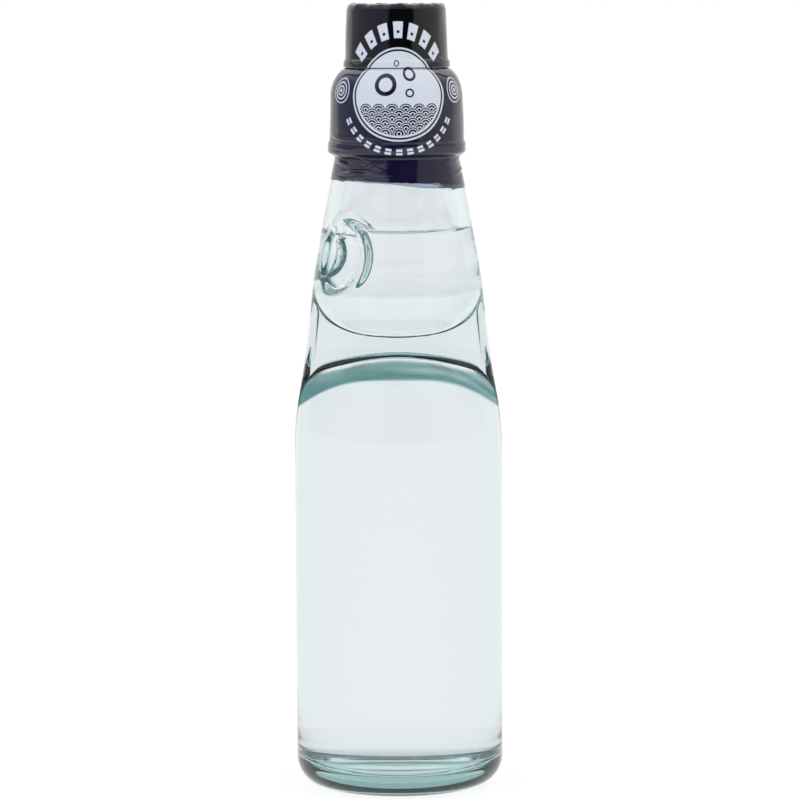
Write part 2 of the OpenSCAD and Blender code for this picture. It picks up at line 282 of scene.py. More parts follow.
@dataclass(frozen=True)
class BottleShape:
    """The outline of the glass, as fields whose zero is the surface."""

    body_r: float = 28.0
    body_h: float = 93.0
    heel_r: float = 8.0
    wall: float = 3.4
    base_t: float = 6.0
    foot_w: float = 3.0
    punt_h: float = 1.8
    z_waist: float = 120.0
    web_half: tuple[float, float] = (12.0, 5.8)
    stations: tuple[tuple[float, float], ...] = (
        (93.0, 28.0),
        (120.0, 24.65),
        (138.0, 22.65),
        (152.0, 20.3),
        (171.4, 16.4),
    )
    catch_z: float = 145.5
    catch_r: float = 12.0
    catch_depth: float = 4.5
    catch_angles: tuple[float, float] = (138.0, 222.0)
    z_neck: float = 171.4
    z_rim: float = 184.5
    finish_r: float = 15.3
    bore_r: float = 11.0
    bead_z: float = 175.2
    bead_h: float = 0.5
    low_edge: tuple[float, float] = (117.4, 110.4)
    high_edge: tuple[float, float] = (123.6, 127.0)
    low_slope: tuple[float, float] = (0.38, 0.0)
    corner: tuple[float, float] = (8.0, 12.0)
    low_fillet: tuple[float, float] = (0.6, 3.0)
    high_start: tuple[float, float] = (135.0, 138.0)
    power: tuple[float, float] = (1.8, 2.0)
    web_bend: tuple[float, float] = (46.0, 75.0)
    web_round: tuple[float, float] = (2.6, 3.0)
    fillet: tuple[float, float] = (0.7, 4.0)

    def side_r(self, z: np.ndarray) -> np.ndarray:
        """Radius of the glass beside the pinch: a cubic between stations that meets each at its slope.

        The slope at a station is that of the line between its neighbours, 0 at the first.
        """
        at, r = (np.array(v) for v in zip(*self.stations))
        run = np.diff(r) / np.diff(at)
        slope = np.concatenate([[0], (r[2:] - r[:-2]) / (at[2:] - at[:-2]), [run[-1]]])
        i = np.clip(np.searchsorted(at, z, side="right") - 1, 0, len(at) - 2)
        h = at[i + 1] - at[i]
        t = np.clip((z - at[i]) / h, 0, None)
        cubic = (
            r[i] * (2 * t**3 - 3 * t**2 + 1)
            + slope[i] * h * (t**3 - 2 * t**2 + t)
            + r[i + 1] * (3 * t**2 - 2 * t**3)
            + slope[i + 1] * h * (t**3 - t**2)
        )
        return np.where(z <= self.body_h, self.body_r, cubic)

    def field(self, rho: np.ndarray, theta: np.ndarray, z: np.ndarray, side: Side) -> np.ndarray:
        """Distance-like field of the glass outside or of the cavity, below zero inside.

        The solid is the turned side, cut by the joined forms of the pinch: the web, whose faces lie at
        half-thickness core from the axis, bent round a long radius, and above and below it the two
        flanks: the lower one a turned cone of the given slope, the upper one a turned quarter of a
        superellipse. The round tools of the two catches are then taken away.

        Args:
            rho: Distance from the axis.
            theta: Angle about the axis.
            z: Height.
            side: The outer face, or the inner one.

        Returns:
            The field at each point.
        """
        i = int(side.value)
        inset = side.value * self.wall
        core = self.web_half[i]
        open_r = self.side_r(z) - inset
        turned = rho - open_r
        bend = self.web_bend[i]
        web = np.hypot(rho * np.cos(theta), np.abs(rho * np.sin(theta)) + bend - core) - bend
        out = np.maximum(rho - core, 0)
        low = (z - self.low_edge[i] + self.low_slope[i] * out) / math.hypot(1, self.low_slope[i])
        start, edge, p = self.high_start[i], self.high_edge[i], self.power[i]
        tall = start - edge
        wide = float(self.side_r(np.array(start))) - inset - core
        lift = np.maximum(start - z, 0) / tall
        high = (((out / wide) ** p + lift**p) ** (1 / p) - 1) * tall
        lower = smooth_max(turned, low, self.corner[i])
        fade = ease((start - z) / 7)
        upper = smooth_max(turned, high, 0.05 + 2.0 * fade)
        middle = smooth_max(turned, web, self.web_round[i])
        lower = smooth_min(lower, middle, self.low_fillet[i])
        upper = smooth_min(upper, middle, self.fillet[i])
        glass = np.where(z > (self.low_edge[i] + edge) / 2, upper, lower)
        glass = np.where(z < start, glass, turned)
        reach = float(self.side_r(np.array(self.catch_z))) + self.catch_r - self.catch_depth
        for angle in np.radians(self.catch_angles):
            away = np.sqrt(
                rho**2 + reach**2 - 2 * rho * reach * np.cos(theta - angle) + (z - self.catch_z) ** 2
            )
            glass = smooth_max(glass, self.catch_r + inset - away, 1.6 + side.value)
        return glass

    def radius(self, theta: np.ndarray, z: np.ndarray, side: Side) -> np.ndarray:
        """Radius of the surface at each angle and height, found by halving the interval.

        Args:
            theta: Angles, one a column.
            z: Heights, one a row.
            side: The outer face, or the inner one.

        Returns:
            Rows by columns of radii.
        """
        t, h = np.meshgrid(theta, z)
        low, high = np.full(t.shape, 1.0), np.full(t.shape, 32.0)
        for _ in range(34):
            middle = (low + high) / 2
            inside = self.field(middle, t, h, side) < 0
            low, high = np.where(inside, middle, low), np.where(inside, high, middle)
        return (low + high) / 2

    def heights(self, z0: float, z1: float, count: int, side: Side) -> np.ndarray:
        """Heights of rows from z0 to z1, closer together where a flank lies flat.

        They are where the running length of the outlines across and along the web reaches even
        shares.
        """
        fine = np.linspace(z0, z1, 4001)
        lines = self.radius(np.radians([0.0, 40.0, 90.0, 138.0]), fine, side)
        step = np.hypot(np.abs(np.diff(lines, axis=0)).mean(axis=1), np.diff(fine))
        run = np.concatenate([[0], np.cumsum(step)])
        return np.interp(np.linspace(0, run[-1], count), run, fine)


@dataclass(frozen=True)
class ClearGlass:
    """Soda-lime bottle glass, blown in a mould: clear, with the faint aqua of its iron.

    The wall is nearly colourless, and a long way through the glass is teal. At the ledge under the
    pinch and at the inner corner of the floor, painted shade mixes a darker teal into the surface
    colour. Where the drink wets it, light crosses from glass to water, which bends and mirrors
    it far less than the step to air does.
    """

    name: str = "soda_lime_glass"
    ior: float = 1.52
    ior_to_drink: float = 1.143
    absorbed: str = "#6EBCBC"
    density: float = 27.0
    # Painted shade: the darker teal mixed into the glass colour at the ledge under the pinch and at the floor corner.
    painted_shade_teal: str = "#719D9C"

    def make(self) -> bpy.types.Material:
        """Mix the dry and the wetted glass by the piece's own mask, over one absorbing body; both glasses carry painted
        shade, a darker teal mixed into their colour by a second mask.
        """
        material, tree = new_material(self.name)
        # Painted shade: this mask mixes the painted teal into the colour of both glasses.
        painted_shade = add_node(tree, "Attribute", attribute_name="painted_shade")
        painted_shade_tint = add_node(tree, "Mix", {0: painted_shade.outputs["Fac"], 6: (1, 1, 1, 1), 7: linear(self.painted_shade_teal)}, data_type="RGBA")
        dry = add_node(tree, "BsdfGlass", {"Color": painted_shade_tint.outputs[2], "Roughness": 0.0, "IOR": self.ior})
        wet = add_node(tree, "BsdfGlass", {"Color": painted_shade_tint.outputs[2], "Roughness": 0.0, "IOR": self.ior_to_drink})
        mask = add_node(tree, "Attribute", attribute_name="wetted")
        mix = add_node(tree, "MixShader", {0: mask.outputs["Fac"], 1: dry.outputs[0], 2: wet.outputs[0]})
        body = add_node(tree, "VolumeAbsorption", {"Color": linear(self.absorbed), "Density": self.density})
        add_node(tree, "OutputMaterial", {"Surface": mix.outputs[0], "Volume": body.outputs[0]})
        return material


@dataclass(frozen=True)
class PlainGlass:
    """Clear pressed glass with one face to air: the marble."""

    name: str = "pressed_marble_glass"
    ior: float = 1.52
    absorbed: str = "#8FCBCB"
    density: float = 14.0

    def make(self) -> bpy.types.Material:
        """One smooth glass over an absorbing body."""
        material, tree = new_material(self.name)
        glass = add_node(
            tree,
            "BsdfPrincipled",
            {"Base Color": (1, 1, 1, 1), "Roughness": 0.0, "IOR": self.ior, "Transmission Weight": 1.0},
        )
        body = add_node(tree, "VolumeAbsorption", {"Color": linear(self.absorbed), "Density": self.density})
        add_node(tree, "OutputMaterial", {"Surface": glass.outputs[0], "Volume": body.outputs[0]})
        return material


@dataclass(frozen=True)
class DrinkTop:
    """Clear soda water at its free surface."""

    name: str = "soda_water_surface"
    ior: float = 1.333

    def make(self) -> bpy.types.Material:
        """One smooth water surface."""
        material, tree = new_material(self.name)
        water = add_node(tree, "BsdfGlass", {"Color": (1, 1, 1, 1), "Roughness": 0.0, "IOR": self.ior})
        add_node(tree, "OutputMaterial", {"Surface": water.outputs[0]})
        return material


@dataclass(frozen=True)
class DrinkSide:
    """The drink where it lies on the glass, whose wetted face already bends the light."""

    name: str = "soda_water_side"

    def make(self) -> bpy.types.Material:
        """A face that shows nothing."""
        material, tree = new_material(self.name)
        clear = add_node(tree, "BsdfTransparent")
        add_node(tree, "OutputMaterial", {"Surface": clear.outputs[0]})
        return material


@dataclass(frozen=True)
class Plastic:
    """Injection moulded plastic with a fine grain from the tool."""

    name: str
    colour: str
    roughness: float
    ior: float = 1.49
    grain_mm: float = 0.35
    through: float = 0.0

    def make(self) -> bpy.types.Material:
        """A soft gloss over a fine bump, a little uneven in shade."""
        material, tree = new_material(self.name)
        place = add_node(tree, "TexCoord").outputs["Object"]
        grain = add_node(tree, "TexNoise", {"Vector": place, "Scale": 1 / (self.grain_mm * MM), "Detail": 2.0})
        cloud = add_node(tree, "TexNoise", {"Vector": place, "Scale": 90.0, "Detail": 1.0})
        base = linear(self.colour)
        dark = tuple(c * 0.93 for c in base[:3]) + (1.0,)
        colour = add_node(tree, "Mix", {0: cloud.outputs[0], 6: dark, 7: base}, data_type="RGBA")
        bump = add_node(tree, "Bump", {"Strength": 0.15, "Distance": 0.00006, "Height": grain.outputs[0]})
        shader = add_node(
            tree,
            "BsdfPrincipled",
            {
                "Base Color": colour.outputs[2],
                "Roughness": self.roughness,
                "IOR": self.ior,
                "Subsurface Weight": self.through,
                "Subsurface Radius": (0.002, 0.002, 0.002),
                "Normal": bump.outputs[0],
            },
        )
        add_node(tree, "OutputMaterial", {"Surface": shader.outputs[0]})
        return material


@dataclass(frozen=True)
class ShrinkFilm:
    """Heat-shrunk PET film, printed in navy and white ink on its inner face, glossy outside.

    Below the print the bare film is clear.
    """

    name: str = "printed_shrink_film"
    navy: str = "#0F0D2A"
    dusk: str = "#06060A"
    white: str = "#C2CAD7"
    roughness: float = 0.07
    ior: float = 1.57
    centre_z: float = 188.0
    centre_u: float = 0.6
    widen: float = 1.055

    def distance(self, tree, place, at: tuple[float, float], stretch: float = 1.0):
        """Distance in mm of the print's u, v from a point, with u pressed together by a factor."""
        pressed = add_node(
            tree, "VectorMath", {0: place, 1: (1 / stretch, 1, 0)}, operation="MULTIPLY"
        )
        away = add_node(
            tree, "VectorMath", {0: pressed.outputs[0], 1: (at[0] / stretch, at[1], 0)}, operation="DISTANCE"
        )
        return away.outputs["Value"]

    def bands(self, tree, value, reach: float, stops: tuple[tuple[float, float], ...], soft: float = 0.035):
        """Ink by bands of a value: from each stop on, up to the reach, the ink has that stop's share.

        Args:
            tree: The material's nodes.
            value: The socket that is read.
            reach: The value at the end of the ramp.
            stops: Where each band starts, and its ink from 0 to 1.
            soft: Half the width of the step between two bands.

        Returns:
            The socket with the share of white ink.
        """
        share = add_node(tree, "Math", {0: value, 1: reach}, operation="DIVIDE")
        node = add_node(tree, "ValToRGB", {0: share.outputs[0]})
        ramp = node.color_ramp
        soft = soft / reach
        points = [(0.0, stops[0][1])]
        for (_, before), (start, ink) in zip(stops, stops[1:]):
            points += [(start / reach - soft, before), (start / reach + soft, ink)]
        while len(ramp.elements) < len(points):
            ramp.elements.new(0.5)
        while len(ramp.elements) > len(points):
            ramp.elements.remove(ramp.elements[-1])
        for element, (position, ink) in zip(ramp.elements, points):
            element.position = position
            element.color = (ink, ink, ink, 1)
        return node.outputs[0]

    def repeat(self, tree, value, pitch: float):
        """The value's distance from the nearest multiple of the pitch."""
        return add_node(tree, "Math", {0: value, 1: pitch / 2}, operation="PINGPONG").outputs[0]

    def product(self, tree, *values):
        """All the given shares multiplied."""
        total = values[0]
        for value in values[1:]:
            total = add_node(tree, "Math", {0: total, 1: value}, operation="MULTIPLY").outputs[0]
        return total

    def waves(self, tree, place):
        """Traditional wave scales: rows of nested arcs, each row half a scale aside and over the next."""
        scale, step = 3.6, 1.26
        parts = add_node(tree, "SeparateXYZ", {0: place})
        total = None
        for row in reversed(range(6)):
            level = self.centre_z - 10.4 + row * step
            shift = add_node(tree, "Math", {0: parts.outputs[0], 1: (row % 2) * scale / 2}, operation="ADD")
            across = self.repeat(tree, shift.outputs[0], scale)
            up = add_node(tree, "Math", {0: parts.outputs[1], 1: level}, operation="SUBTRACT")
            flat = add_node(tree, "CombineXYZ", {0: across, 1: up.outputs[0], 2: 0.0})
            away = add_node(tree, "VectorMath", {0: flat.outputs[0]}, operation="LENGTH").outputs["Value"]
            arcs = self.bands(tree, away, 4.0, ((0, 0.0), (0.42, 1.0), (0.7, 0.0), (1.18, 1.0), (1.42, 0.0), (1.74, 1.0)))
            inside = add_node(tree, "Math", {0: away, 1: 1.9}, operation="LESS_THAN").outputs[0]
            if total is None:
                total = add_node(tree, "Mix", {0: inside, 2: 1.0, 3: arcs}, data_type="FLOAT").outputs[0]
            else:
                total = add_node(tree, "Mix", {0: inside, 2: total, 3: arcs}, data_type="FLOAT").outputs[0]
        return total

    def print_mask(self, tree):
        """The white ink: a pale round panel with waves and bubbles, and arcs of bars and dots round it."""
        wrap = add_node(tree, "UVMap", uv_map="wrap").outputs[0]
        place = add_node(tree, "VectorMath", {0: wrap, 1: (self.centre_u, 0, 0)}, operation="SUBTRACT").outputs[0]
        parts = add_node(tree, "SeparateXYZ", {0: place})
        away = self.distance(tree, place, (0, self.centre_z), self.widen)
        panel = self.bands(tree, away, 20.0, ((0, 1.0), (11.45, 0.0), (11.95, 1.0), (12.43, 0.0)))
        lift = add_node(tree, "Math", {0: parts.outputs[1], 1: self.centre_z}, operation="SUBTRACT").outputs[0]
        turn = add_node(tree, "Math", {0: parts.outputs[0], 1: lift}, operation="ARCTAN2").outputs[0]
        width = add_node(tree, "Math", {0: turn}, operation="ABSOLUTE").outputs[0]
        bar_step, dot_step = math.radians(17.0), math.pi / 17
        bar = self.product(
            tree,
            self.bands(tree, away, 24.0, ((0, 0.0), (14.9, 1.0), (19.3, 0.0))),
            self.bands(tree, self.repeat(tree, turn, bar_step), 0.2, ((0, 1.0), (0.092, 0.0)), 0.004),
            self.bands(tree, width, 3.2, ((0, 1.0), (bar_step * 3.5, 0.0)), 0.004),
        )
        notch = self.product(
            tree,
            self.bands(tree, away, 24.0, ((0, 0.0), (16.2, 1.0), (16.9, 0.0))),
            self.bands(tree, self.repeat(tree, turn, bar_step), 0.2, ((0, 1.0), (0.03, 0.0)), 0.004),
        )
        dot = self.product(
            tree,
            self.bands(tree, away, 24.0, ((0, 0.0), (14.5, 1.0), (15.15, 0.0), (15.45, 1.0), (16.1, 0.0))),
            self.bands(tree, self.repeat(tree, turn, dot_step), 0.12, ((0, 1.0), (0.052, 0.0)), 0.004),
            self.bands(tree, width, 3.2, ((0, 0.0), (dot_step * 10.5, 1.0)), 0.004),
        )
        sides = add_node(tree, "VectorMath", {0: place}, operation="ABSOLUTE").outputs[0]
        ripple = self.bands(
            tree,
            self.distance(tree, sides, (18.0, self.centre_z + 1.0)),
            8.0,
            ((0, 1.0), (0.5, 0.0), (1.0, 1.0), (1.4, 0.0), (2.0, 1.0), (2.4, 0.0), (3.1, 1.0), (3.4, 0.0)),
        )
        waves = self.waves(tree, place)
        low = self.bands(tree, add_node(tree, "Math", {0: lift, 1: 12.0}, operation="ADD").outputs[0], 24.0, ((0, 0.0), (9.6, 1.0)))
        scene_ink = add_node(tree, "Mix", {0: low, 2: waves, 3: 1.0}, data_type="FLOAT").outputs[0]
        for at, size in (((-3.6, 2.6), 3.0), ((3.2, 5.4), 1.9), ((2.9, 0.4), 1.2), ((-0.6, 8.2), 0.9)):
            ring = self.bands(
                tree,
                self.distance(tree, place, (at[0], self.centre_z + at[1])),
                24.0,
                ((0, 1.0), (size * 0.28, 1.0), (size * 0.62, 0.0), (size, 1.0)),
            )
            scene_ink = self.product(tree, scene_ink, ring)
        inner = self.bands(tree, away, 20.0, ((0, 1.0), (10.9, 0.0)))
        filled = add_node(tree, "Mix", {0: inner, 2: panel, 3: scene_ink}, data_type="FLOAT").outputs[0]
        bar = add_node(tree, "Math", {0: bar, 1: notch}, operation="SUBTRACT", use_clamp=True).outputs[0]
        for extra in (bar, dot, ripple):
            filled = add_node(tree, "Math", {0: filled, 1: extra}, operation="MAXIMUM").outputs[0]
        return filled, parts.outputs[1]

    def make(self) -> bpy.types.Material:
        """Navy film with white ink, a darker navy from 194.9 mm up over the collar, and a clear margin."""
        material, tree = new_material(self.name)
        ink = add_node(tree, "Attribute", attribute_name="inked")
        print_ink, height = self.print_mask(tree)
        # Darker navy from 194.9 mm up, over the collar.
        above = self.bands(tree, add_node(tree, "Math", {0: height, 1: 150.0}, operation="SUBTRACT").outputs[0], 80.0, ((0, 0.0), (44.9, 1.0)))
        ground = add_node(
            tree, "Mix", {0: above, 6: linear(self.navy), 7: linear(self.dusk)}, data_type="RGBA"
        )
        colour = add_node(
            tree, "Mix", {0: print_ink, 6: ground.outputs[2], 7: linear(self.white)}, data_type="RGBA"
        )
        printed = add_node(
            tree,
            "BsdfPrincipled",
            {"Base Color": colour.outputs[2], "Roughness": self.roughness, "IOR": self.ior},
        )
        clear = add_node(tree, "BsdfTransparent", {"Color": linear("#D3DEE8")})
        gloss = add_node(tree, "BsdfGlossy", {"Color": (1, 1, 1, 1), "Roughness": self.roughness})
        rim = add_node(tree, "Fresnel", {"IOR": self.ior})
        bare = add_node(tree, "MixShader", {0: rim.outputs[0], 1: clear.outputs[0], 2: gloss.outputs[0]})
        mix = add_node(tree, "MixShader", {0: ink.outputs["Fac"], 1: bare.outputs[0], 2: printed.outputs[0]})
        add_node(tree, "OutputMaterial", {"Surface": mix.outputs[0]})
        return material


@dataclass
class GlassBottle:
    """The blown glass body, with its pinch, catches and finish."""

    shape: BottleShape = field(default_factory=BottleShape)
    columns: int = 192
    pinch_rows: int = 170
    level: float = 151.6
    # Painted shade: the lower edge of the painted teal band under the pinch, and how it sags to the sides.
    painted_shade_z: float = 112.2
    painted_shade_sag: float = 4.5e-4
    glass: ClearGlass = field(default_factory=ClearGlass)

    def angles(self) -> np.ndarray:
        """Angles of the columns, closer at the catches and at the ends of the web."""
        return ring_angles(
            self.columns, ((138, 1.3, 16), (222, 1.3, 16), (22, 0.6, 8), (158, 0.5, 8), (202, 0.5, 8), (338, 0.6, 8))
        )

    def outer_foot(self) -> np.ndarray:
        """Outline from the middle of the hollow under the base to the top of the heel, as r and z."""
        s = self.shape
        foot = s.body_r - s.heel_r
        hollow_r = foot - s.foot_w
        r = np.linspace(0, hollow_r, 15)
        hollow = np.column_stack([r, s.punt_h * (1 - ease(r / hollow_r) ** 2)])
        heel = arc(foot, s.heel_r, s.heel_r, s.heel_r, -90, 0, 16)
        side = np.column_stack([np.full(12, s.body_r), np.linspace(s.heel_r, 90.0, 13)[1:]])
        return np.vstack([hollow, [[hollow_r + s.foot_w / 2, 0]], heel, side])

    def finish(self) -> np.ndarray:
        """Outline from the neck over the locking bead and the rim down to the bore, as r and z."""
        s = self.shape
        r, top = s.finish_r, s.z_rim
        bead = arc(r, s.bead_z - 0.2, s.bead_h, 1.2, -90, 90, 8)
        rim = arc(r - 1, top - 1, 1, 1, 0, 90, 6)
        lip = arc(s.bore_r + 1.4, top - 0.9, 0.9, 0.9, 90, 180, 4)
        bore = [[s.bore_r, top - 2], [s.bore_r, s.z_neck + 6], [s.bore_r + 0.4, s.z_neck + 4]]
        return np.vstack([[[r + 0.3, s.z_neck + 0.6], [r, s.z_neck + 1.2]], bead, [[r, top - 4]], rim, lip, bore])

    def inner_floor(self) -> np.ndarray:
        """Outline from the inner side down the corner to the middle of the inner floor, as r and z."""
        s = self.shape
        r = s.body_r - s.wall
        turn = s.heel_r - 1
        side = np.column_stack([np.full(12, r), np.linspace(90.0, s.base_t + turn, 13)[1:]])
        corner = arc(r - turn, s.base_t + turn, turn, turn, 0, -90, 14)
        rest = np.linspace(r - turn, 0, 12)[1:]
        return np.vstack([side, corner[1:], np.column_stack([rest, np.full(len(rest), s.base_t)])])

    def painted_shade(self, points: np.ndarray) -> np.ndarray:
        """How strong the painted shade is at each point of the ledge under the pinch.

        Painted shade: a teal colour mixed into the glass, standing in for the dark band that light bent
        through the pinch gives, with painted lighter streaks across it. It lies between the fold
        under the web and a lower edge that sags with the cube of the distance from the middle.
        """
        s = self.shape
        x, z = points[..., 0], points[..., 2]
        core, bend = s.web_half[0], s.web_bend[0]
        face = np.sqrt(bend**2 - x**2) - bend + core
        fold = s.low_edge[0] - s.low_slope[0] * (np.hypot(x, face) - core)
        foot = self.painted_shade_z - self.painted_shade_sag * np.abs(x) ** 3
        # Painted lighter streaks across the band of painted shade.
        streak = 0.5 + 0.5 * np.sin(2.6 * (z - foot) + 0.16 * x + 0.8 * np.sin(0.21 * x + 1.3))
        depth = 0.8 + 0.2 * ease((fold - z) / 4) - 0.22 * streak * ease((x + 6) / 14)
        return ease((fold - 0.2 - z) / 0.7) * ease((z - foot) / 0.7) * depth

    def build(self) -> bpy.types.Object:
        """Make the closed wall: up the outer face, over the rim and down the inner face."""
        s, angles = self.shape, self.angles()
        foot, rim, floor = self.outer_foot(), self.finish(), self.inner_floor()
        up = s.heights(92.0, s.z_neck, self.pinch_rows, Side.OUTER)
        down = s.heights(92.0, s.z_neck, self.pinch_rows, Side.INNER)[::-1]
        radius = np.vstack(
            [
                np.repeat(foot[:, :1], len(angles), 1),
                s.radius(angles, up, Side.OUTER),
                np.repeat(rim[:, :1], len(angles), 1),
                s.radius(angles, down, Side.INNER),
                np.repeat(floor[:, :1], len(angles), 1),
            ]
        )
        height = np.concatenate([foot[:, 1], up, rim[:, 1], down, floor[:, 1]])
        inner = np.arange(len(height)) >= len(foot) + len(up) + len(rim)
        wetted = np.repeat((inner & (height < self.level)).astype(float)[:, None], len(angles), 1)
        points = spin(radius, height, angles)
        outer = np.arange(len(height)) < len(foot) + len(up)
        # Painted shade: a teal colour painted on the inner face near the floor corner; the outer face carries the
        # painted shade of the ledge under the pinch.
        painted_floor_shade = np.where(inner, 0.3 * ease((s.base_t + 1.6 - height) / 1.2), 0)[:, None]
        values = {"wetted": wetted, "painted_shade": np.where(outer[:, None], self.painted_shade(points), painted_floor_shade)}
        piece = grid_mesh("bottle_wall", points, Wrap.POLES, values=values)
        return settle(piece, "bottle", "bottle_glass", ("glass_bottle",), self.glass.make())


@dataclass
class Drink:
    """The soda water, up to its free surface in the marble chamber."""

    bottle: GlassBottle
    level: float = 150.1
    climb: float = 1.5
    curl: float = 1.7
    overlap: float = 0.04

    def build(self) -> bpy.types.Object:
        """Make the closed body of water.

        The free surface is level, and near the glass it climbs as the exponential of the distance
        from the wall, as a meniscus does. The side lies a hair inside the glass.
        """
        s, angles = self.bottle.shape, self.bottle.angles()
        top_z = self.level + self.climb
        edge = s.radius(angles, np.array([top_z]), Side.INNER)[0] + self.overlap
        share = 1 - (1 - np.linspace(0, 1, 34)) ** 2.2
        top_r = share[:, None] * edge
        top_h = self.level + self.climb * np.exp(-(edge - top_r) / self.curl)
        down = s.heights(92.0, top_z, 150, Side.INNER)[::-1][1:]
        side_r = s.radius(angles, down, Side.INNER) + self.overlap
        floor = self.bottle.inner_floor() + [self.overlap, 0]
        floor[:, 1] -= self.overlap * (floor[:, 1] < s.base_t + 1)
        floor[-1, 0] = 0
        radius = np.vstack([top_r, side_r, np.repeat(floor[:, :1], len(angles), 1)])
        height = np.vstack(
            [top_h, np.repeat(np.concatenate([down, floor[:, 1]])[:, None], len(angles), 1)]
        )
        points = spin(radius[::-1], height[::-1], angles)
        slots = (np.arange(len(height)) >= len(height) - len(top_r)).astype(int)
        piece = grid_mesh("soda_water", points, Wrap.POLES, slots=slots)
        return settle(piece, "bottle", None, (), DrinkSide().make(), DrinkTop().make())


@dataclass
class Marble:
    """The glass marble that closes the mouth from inside."""

    radius: float = 8.5
    z: float = 181.223

    def build(self) -> bpy.types.Object:
        """Make the ball from rows of circles between its two poles."""
        a = np.linspace(-np.pi / 2, np.pi / 2, 65)
        points = spin(self.radius * np.cos(a), self.z + self.radius * np.sin(a), ring_angles(96))
        piece = grid_mesh("marble_ball", points, Wrap.POLES)
        return settle(piece, "marble", "marble_glass", ("marble",), PlainGlass().make())


@dataclass
class CapOutline:
    """Outlines of the cap and of the opener's hoop, which the film hugs."""

    ridge_r: float = 18.35
    skirt_r: float = 17.9
    cap_r: float = 17.6
    land_r: float = 12.2
    z_skirt: float = 172.2
    z_ridge: float = 175.2
    z_barrel: float = 186.6
    dome_h: float = 8.4
    hoop_r: float = 13.6
    hoop_top_r: float = 13.15
    hoop_bead: float = 1.6
    hoop_bead_t: float = 0.5
    z_hoop: float = 211.4
    hoop_edge: float = 1.1

    @property
    def z_land(self) -> float:
        """Height of the flat land that carries the opener."""
        return self.z_barrel + self.dome_h

    def cap(self, grow: float) -> np.ndarray:
        """Outer side of the cap from the skirt to the land, moved out by grow, as r and z."""
        start = [
            [self.ridge_r + grow, self.z_skirt],
            [self.ridge_r + grow, self.z_ridge - 0.4],
            [self.skirt_r + grow, self.z_ridge + 0.1],
        ]
        dome = arc(self.land_r, self.z_barrel, self.cap_r - self.land_r + grow, self.dome_h + grow, 0, 90, 24)
        return np.vstack([start, dome])

    def hoop(self, grow: float, start: float) -> np.ndarray:
        """Outer side of the hoop from its foot over its rounded top, moved out by grow, as r and z."""
        foot_r = self.hoop_r + self.hoop_bead_t + grow
        base = [
            [foot_r, self.z_land + start],
            [foot_r, self.z_land + self.hoop_bead],
            [self.hoop_r + grow, self.z_land + self.hoop_bead + 0.6],
        ]
        edge = arc(
            self.hoop_top_r - self.hoop_edge,
            self.z_hoop - self.hoop_edge,
            self.hoop_edge + grow,
            self.hoop_edge + grow,
            0,
            90,
            10,
        )
        return np.vstack([base, edge])


@dataclass(frozen=True)
class Crease:
    """A long soft fold that the film kept when it shrank: a ridge from one point to another."""

    start: tuple[float, float]
    end: tuple[float, float]
    height: float
    width: float

    def lift(self, degrees: np.ndarray, z: np.ndarray) -> np.ndarray:
        """Rise of the film in mm: a bell across the fold, eased to nothing at both ends.

        Args:
            degrees: Angle from the front, to the right.
            z: Height in mm.

        Returns:
            The rise at each point.
        """
        span = self.end[0] - self.start[0]
        t = ((degrees - self.start[0] + 180) % 360 - 180) / span
        line = self.start[1] + (self.end[1] - self.start[1]) * t + 0.25 * np.sin(9 * t + self.start[1])
        ends = ease(t / 0.25) * ease((1 - t) / 0.25)
        across = (z - line) / self.width
        return 1.5 * self.height * ends * (np.exp(-(across**2)) - 0.45 * np.exp(-((across + 1.7) ** 2)))


CREASES = (
    Crease((-82, 177.0), (-6, 175.1), 0.24, 0.5),
    Crease((-88, 173.9), (-34, 173.4), 0.16, 0.35),
    Crease((-70, 171.9), (-20, 170.3), 0.3, 0.45),
    Crease((-78, 169.9), (-8, 167.9), 0.34, 0.5),
    Crease((-34, 169.3), (-6, 168.9), 0.16, 0.25),
    Crease((-66, 167.2), (-2, 165.9), 0.26, 0.45),
    Crease((-50, 165.6), (-12, 164.9), 0.14, 0.35),
    Crease((44, 169.6), (96, 171.3), 0.14, 0.5),
    Crease((58, 167.0), (110, 168.0), 0.16, 0.45),
    Crease((112, 171.4), (170, 169.2), 0.28, 0.5),
    Crease((120, 168.2), (200, 166.6), 0.26, 0.45),
    Crease((178, 173.4), (236, 175.6), 0.22, 0.5),
    Crease((196, 170.2), (262, 171.4), 0.24, 0.45),
    Crease((-58, 196.6), (-22, 197.2), 0.16, 0.4),
    Crease((26, 196.8), (64, 197.4), 0.14, 0.35),
    Crease((140, 196.8), (200, 197.6), 0.16, 0.4),
    Crease((-70, 193.0), (-30, 193.8), 0.12, 0.4),
    Crease((34, 193.6), (66, 192.8), 0.12, 0.35),
)


